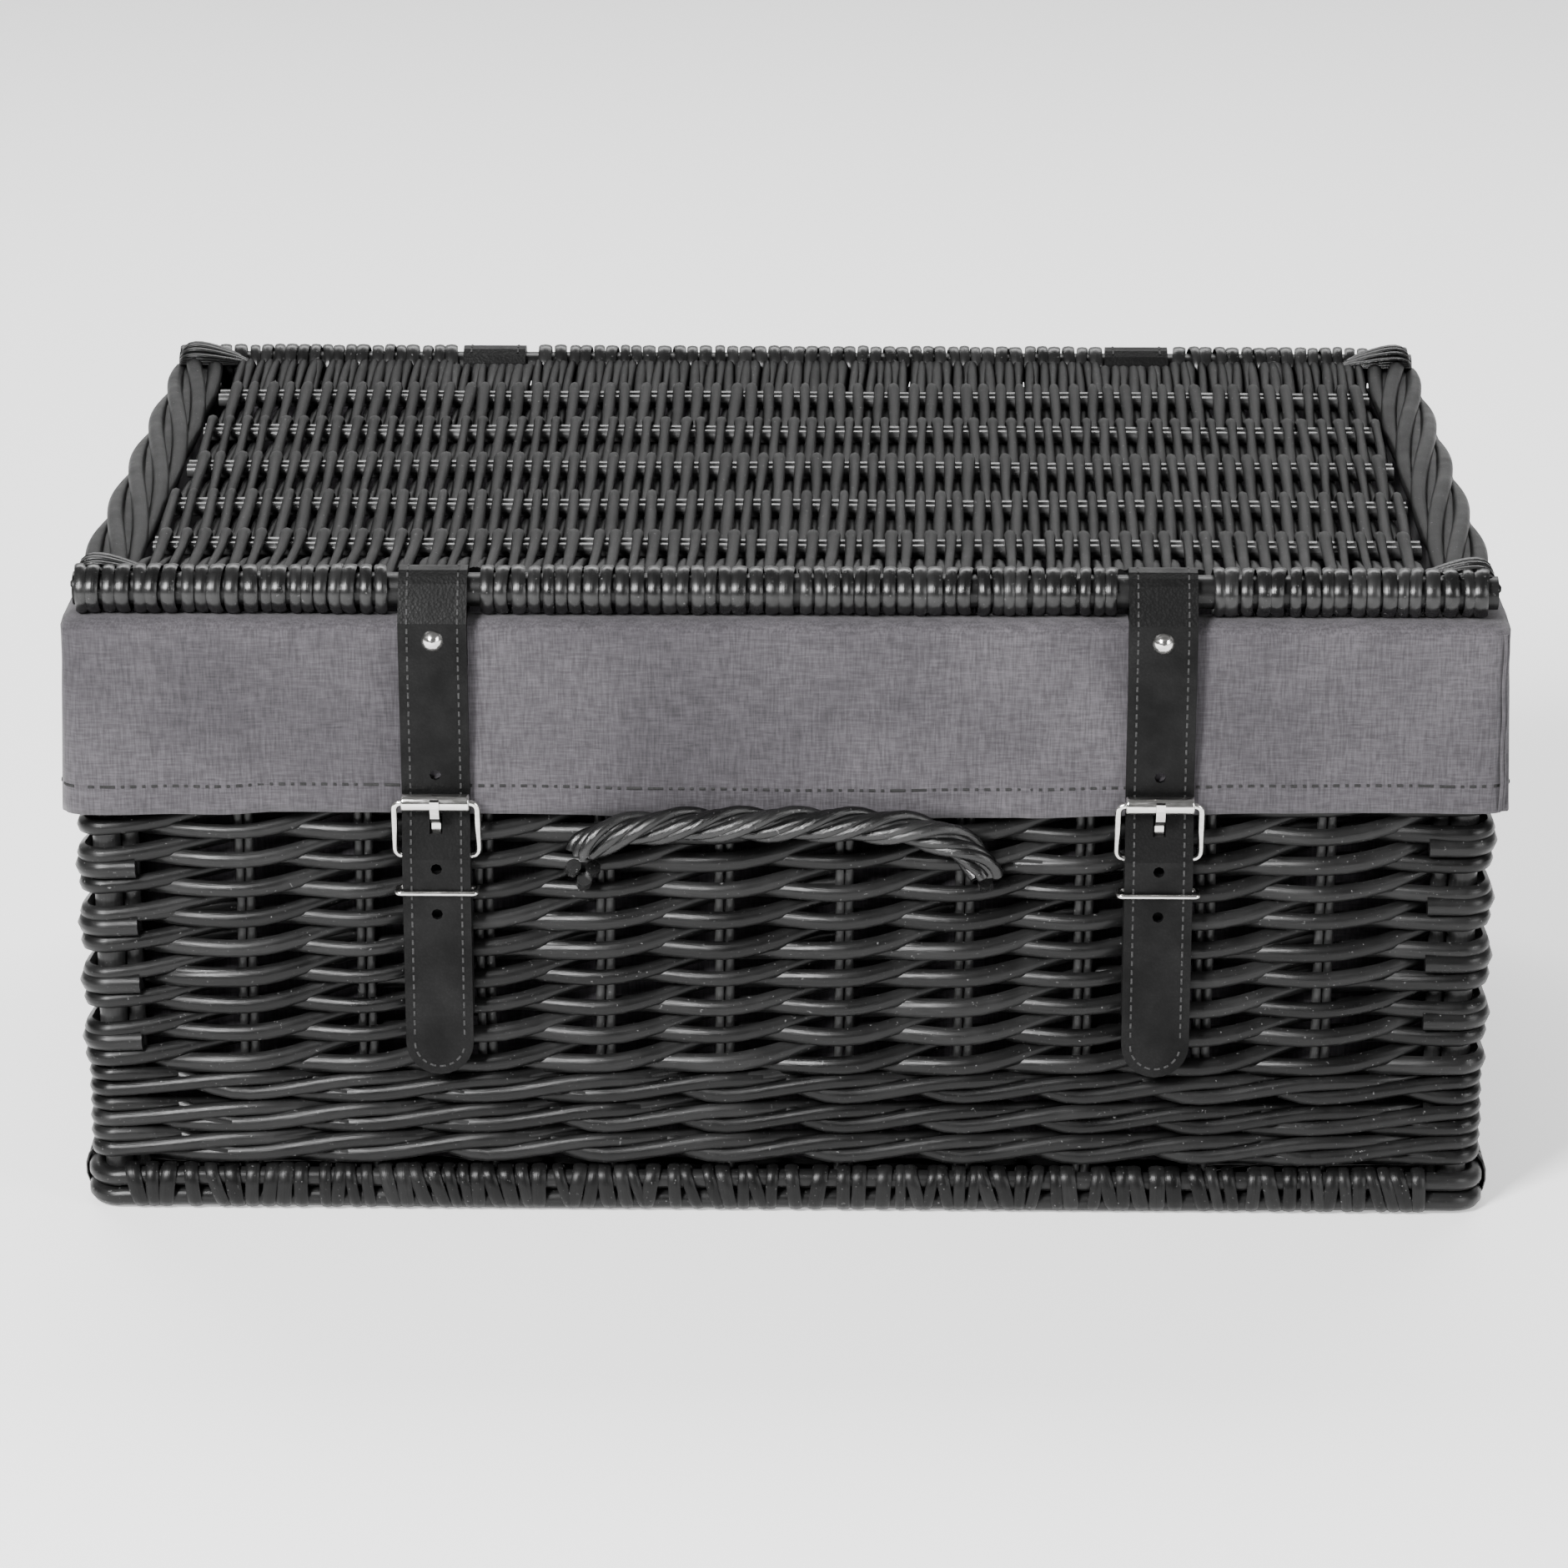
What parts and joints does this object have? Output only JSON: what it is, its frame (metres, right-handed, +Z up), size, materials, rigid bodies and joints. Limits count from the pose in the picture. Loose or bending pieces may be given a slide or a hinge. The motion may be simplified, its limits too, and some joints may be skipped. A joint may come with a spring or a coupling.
{
  "type": "wicker picnic basket",
  "caption": "Black wicker hamper with a hinged woven lid, folded-over grey cloth liner, two leather straps with roller buckles and a small twisted front handle.",
  "frame": {"origin": "middle of the flat underside, on the surface that the basket stands on", "axes": "+X to the right along the long side as seen from the straps, -Y out of the front with the straps, +Z up"},
  "size_m": [0.466, 0.3276, 0.2264],
  "materials": {
    "willow": "black-stained round willow, satin with lighter worn highlights",
    "lid_willow": "black-stained willow weavers, matte",
    "willow_stake": "black-stained willow stakes, satin",
    "handle_willow": "twisted black-stained willow, glossy",
    "liner_cloth": "plain-woven cotton, matte, slight mauve-grey",
    "leather": "black grained leather, satin, dashed stitching",
    "nickel": "polished nickel"
  },
  "bodies": {
    "basket": {"base_panel": "willow", "foot_border_front": "willow", "foot_border_back": "willow", "foot_border_left": "willow", "foot_border_right": "willow", "wall_front": "willow", "wall_back": "willow", "wall_left": "willow", "wall_right": "willow", "rim_front": "willow", "rim_back": "willow", "rim_left": "willow", "rim_right": "willow", "corner_post_front_left": "willow", "corner_post_front_right": "willow", "corner_post_back_left": "willow", "corner_post_back_right": "willow", "liner": "liner_cloth", "hinge_strap_left": "leather", "hinge_rivet_left": "nickel", "buckle_strap_left": "leather", "buckle_rivet_left": "nickel", "keeper_left": "nickel", "hinge_strap_right": "leather", "hinge_rivet_right": "nickel", "buckle_strap_right": "leather", "buckle_rivet_right": "nickel", "keeper_right": "nickel"},
    "lid": {"lid_rod_front": "willow", "lid_rod_back": "willow", "lid_weave": "lid_willow", "lid_braid_left": "willow", "lid_braid_right": "willow", "lid_stake_1_front": "willow_stake", "lid_stake_1_back": "willow_stake", "lid_stake_2_front": "willow_stake", "lid_stake_2_back": "willow_stake", "lid_stake_3_front": "willow_stake", "lid_stake_3_back": "willow_stake", "lid_stake_4_front": "willow_stake", "lid_stake_4_back": "willow_stake", "lid_stake_5_front": "willow_stake", "lid_stake_5_back": "willow_stake", "corner_binding_front_left": "willow", "corner_binding_front_right": "willow", "corner_binding_back_left": "willow", "corner_binding_back_right": "willow"},
    "strap_left": {"strap_left": "leather", "strap_rivet_left": "nickel"},
    "buckle_left": {"buckle_frame_left": "nickel"},
    "roller_left": {"roller_left": "nickel"},
    "prong_left": {"prong_left": "nickel"},
    "strap_right": {"strap_right": "leather", "strap_rivet_right": "nickel"},
    "buckle_right": {"buckle_frame_right": "nickel"},
    "roller_right": {"roller_right": "nickel"},
    "prong_right": {"prong_right": "nickel"},
    "handle": {"front_handle": "handle_willow"}
  },
  "joints": [
    {"name": "lid_hinge", "type": "hinge", "parent": "basket", "child": "lid", "pos_m": [0, 0.14675, 0.2129], "axis": [-1, 0, 0], "range_deg": [0, 95], "deforming": ["strap_left", "strap_right"]},
    {"name": "strap_left_swing", "type": "hinge", "parent": "lid", "child": "strap_left", "pos_m": [-0.1123, -0.14675, 0.2129], "axis": [1, 0, 0], "range_deg": [0, 90]},
    {"name": "strap_right_swing", "type": "hinge", "parent": "lid", "child": "strap_right", "pos_m": [0.121, -0.14675, 0.2129], "axis": [1, 0, 0], "range_deg": [0, 90]},
    {"name": "buckle_left_tilt", "type": "hinge", "parent": "basket", "child": "buckle_left", "pos_m": [-0.1123, -0.1563, 0.126], "axis": [1, 0, 0], "range_deg": [0, 60]},
    {"name": "prong_left_lift", "type": "hinge", "parent": "buckle_left", "child": "prong_left", "pos_m": [-0.1123, -0.1563, 0.126], "axis": [1, 0, 0], "range_deg": [0, 50]},
    {"name": "roller_left_spin", "type": "hinge", "parent": "buckle_left", "child": "roller_left", "pos_m": [-0.1123, -0.1606, 0.14533], "axis": [1, 0, 0], "continuous": true},
    {"name": "buckle_right_tilt", "type": "hinge", "parent": "basket", "child": "buckle_right", "pos_m": [0.121, -0.1563, 0.126], "axis": [1, 0, 0], "range_deg": [0, 60]},
    {"name": "prong_right_lift", "type": "hinge", "parent": "buckle_right", "child": "prong_right", "pos_m": [0.121, -0.1563, 0.126], "axis": [1, 0, 0], "range_deg": [0, 50]},
    {"name": "roller_right_spin", "type": "hinge", "parent": "buckle_right", "child": "roller_right", "pos_m": [0.121, -0.1606, 0.14533], "axis": [1, 0, 0], "continuous": true},
    {"name": "handle_swing", "type": "hinge", "parent": "basket", "child": "handle", "pos_m": [0, -0.16155, 0.1218], "axis": [1, 0, 0], "range_deg": [0, 90]}
  ],
  "couplings": [
    {"joint": "strap_left_swing", "follows": "lid_hinge", "ratio": 0.92},
    {"joint": "strap_right_swing", "follows": "lid_hinge", "ratio": 0.92}
  ]
}
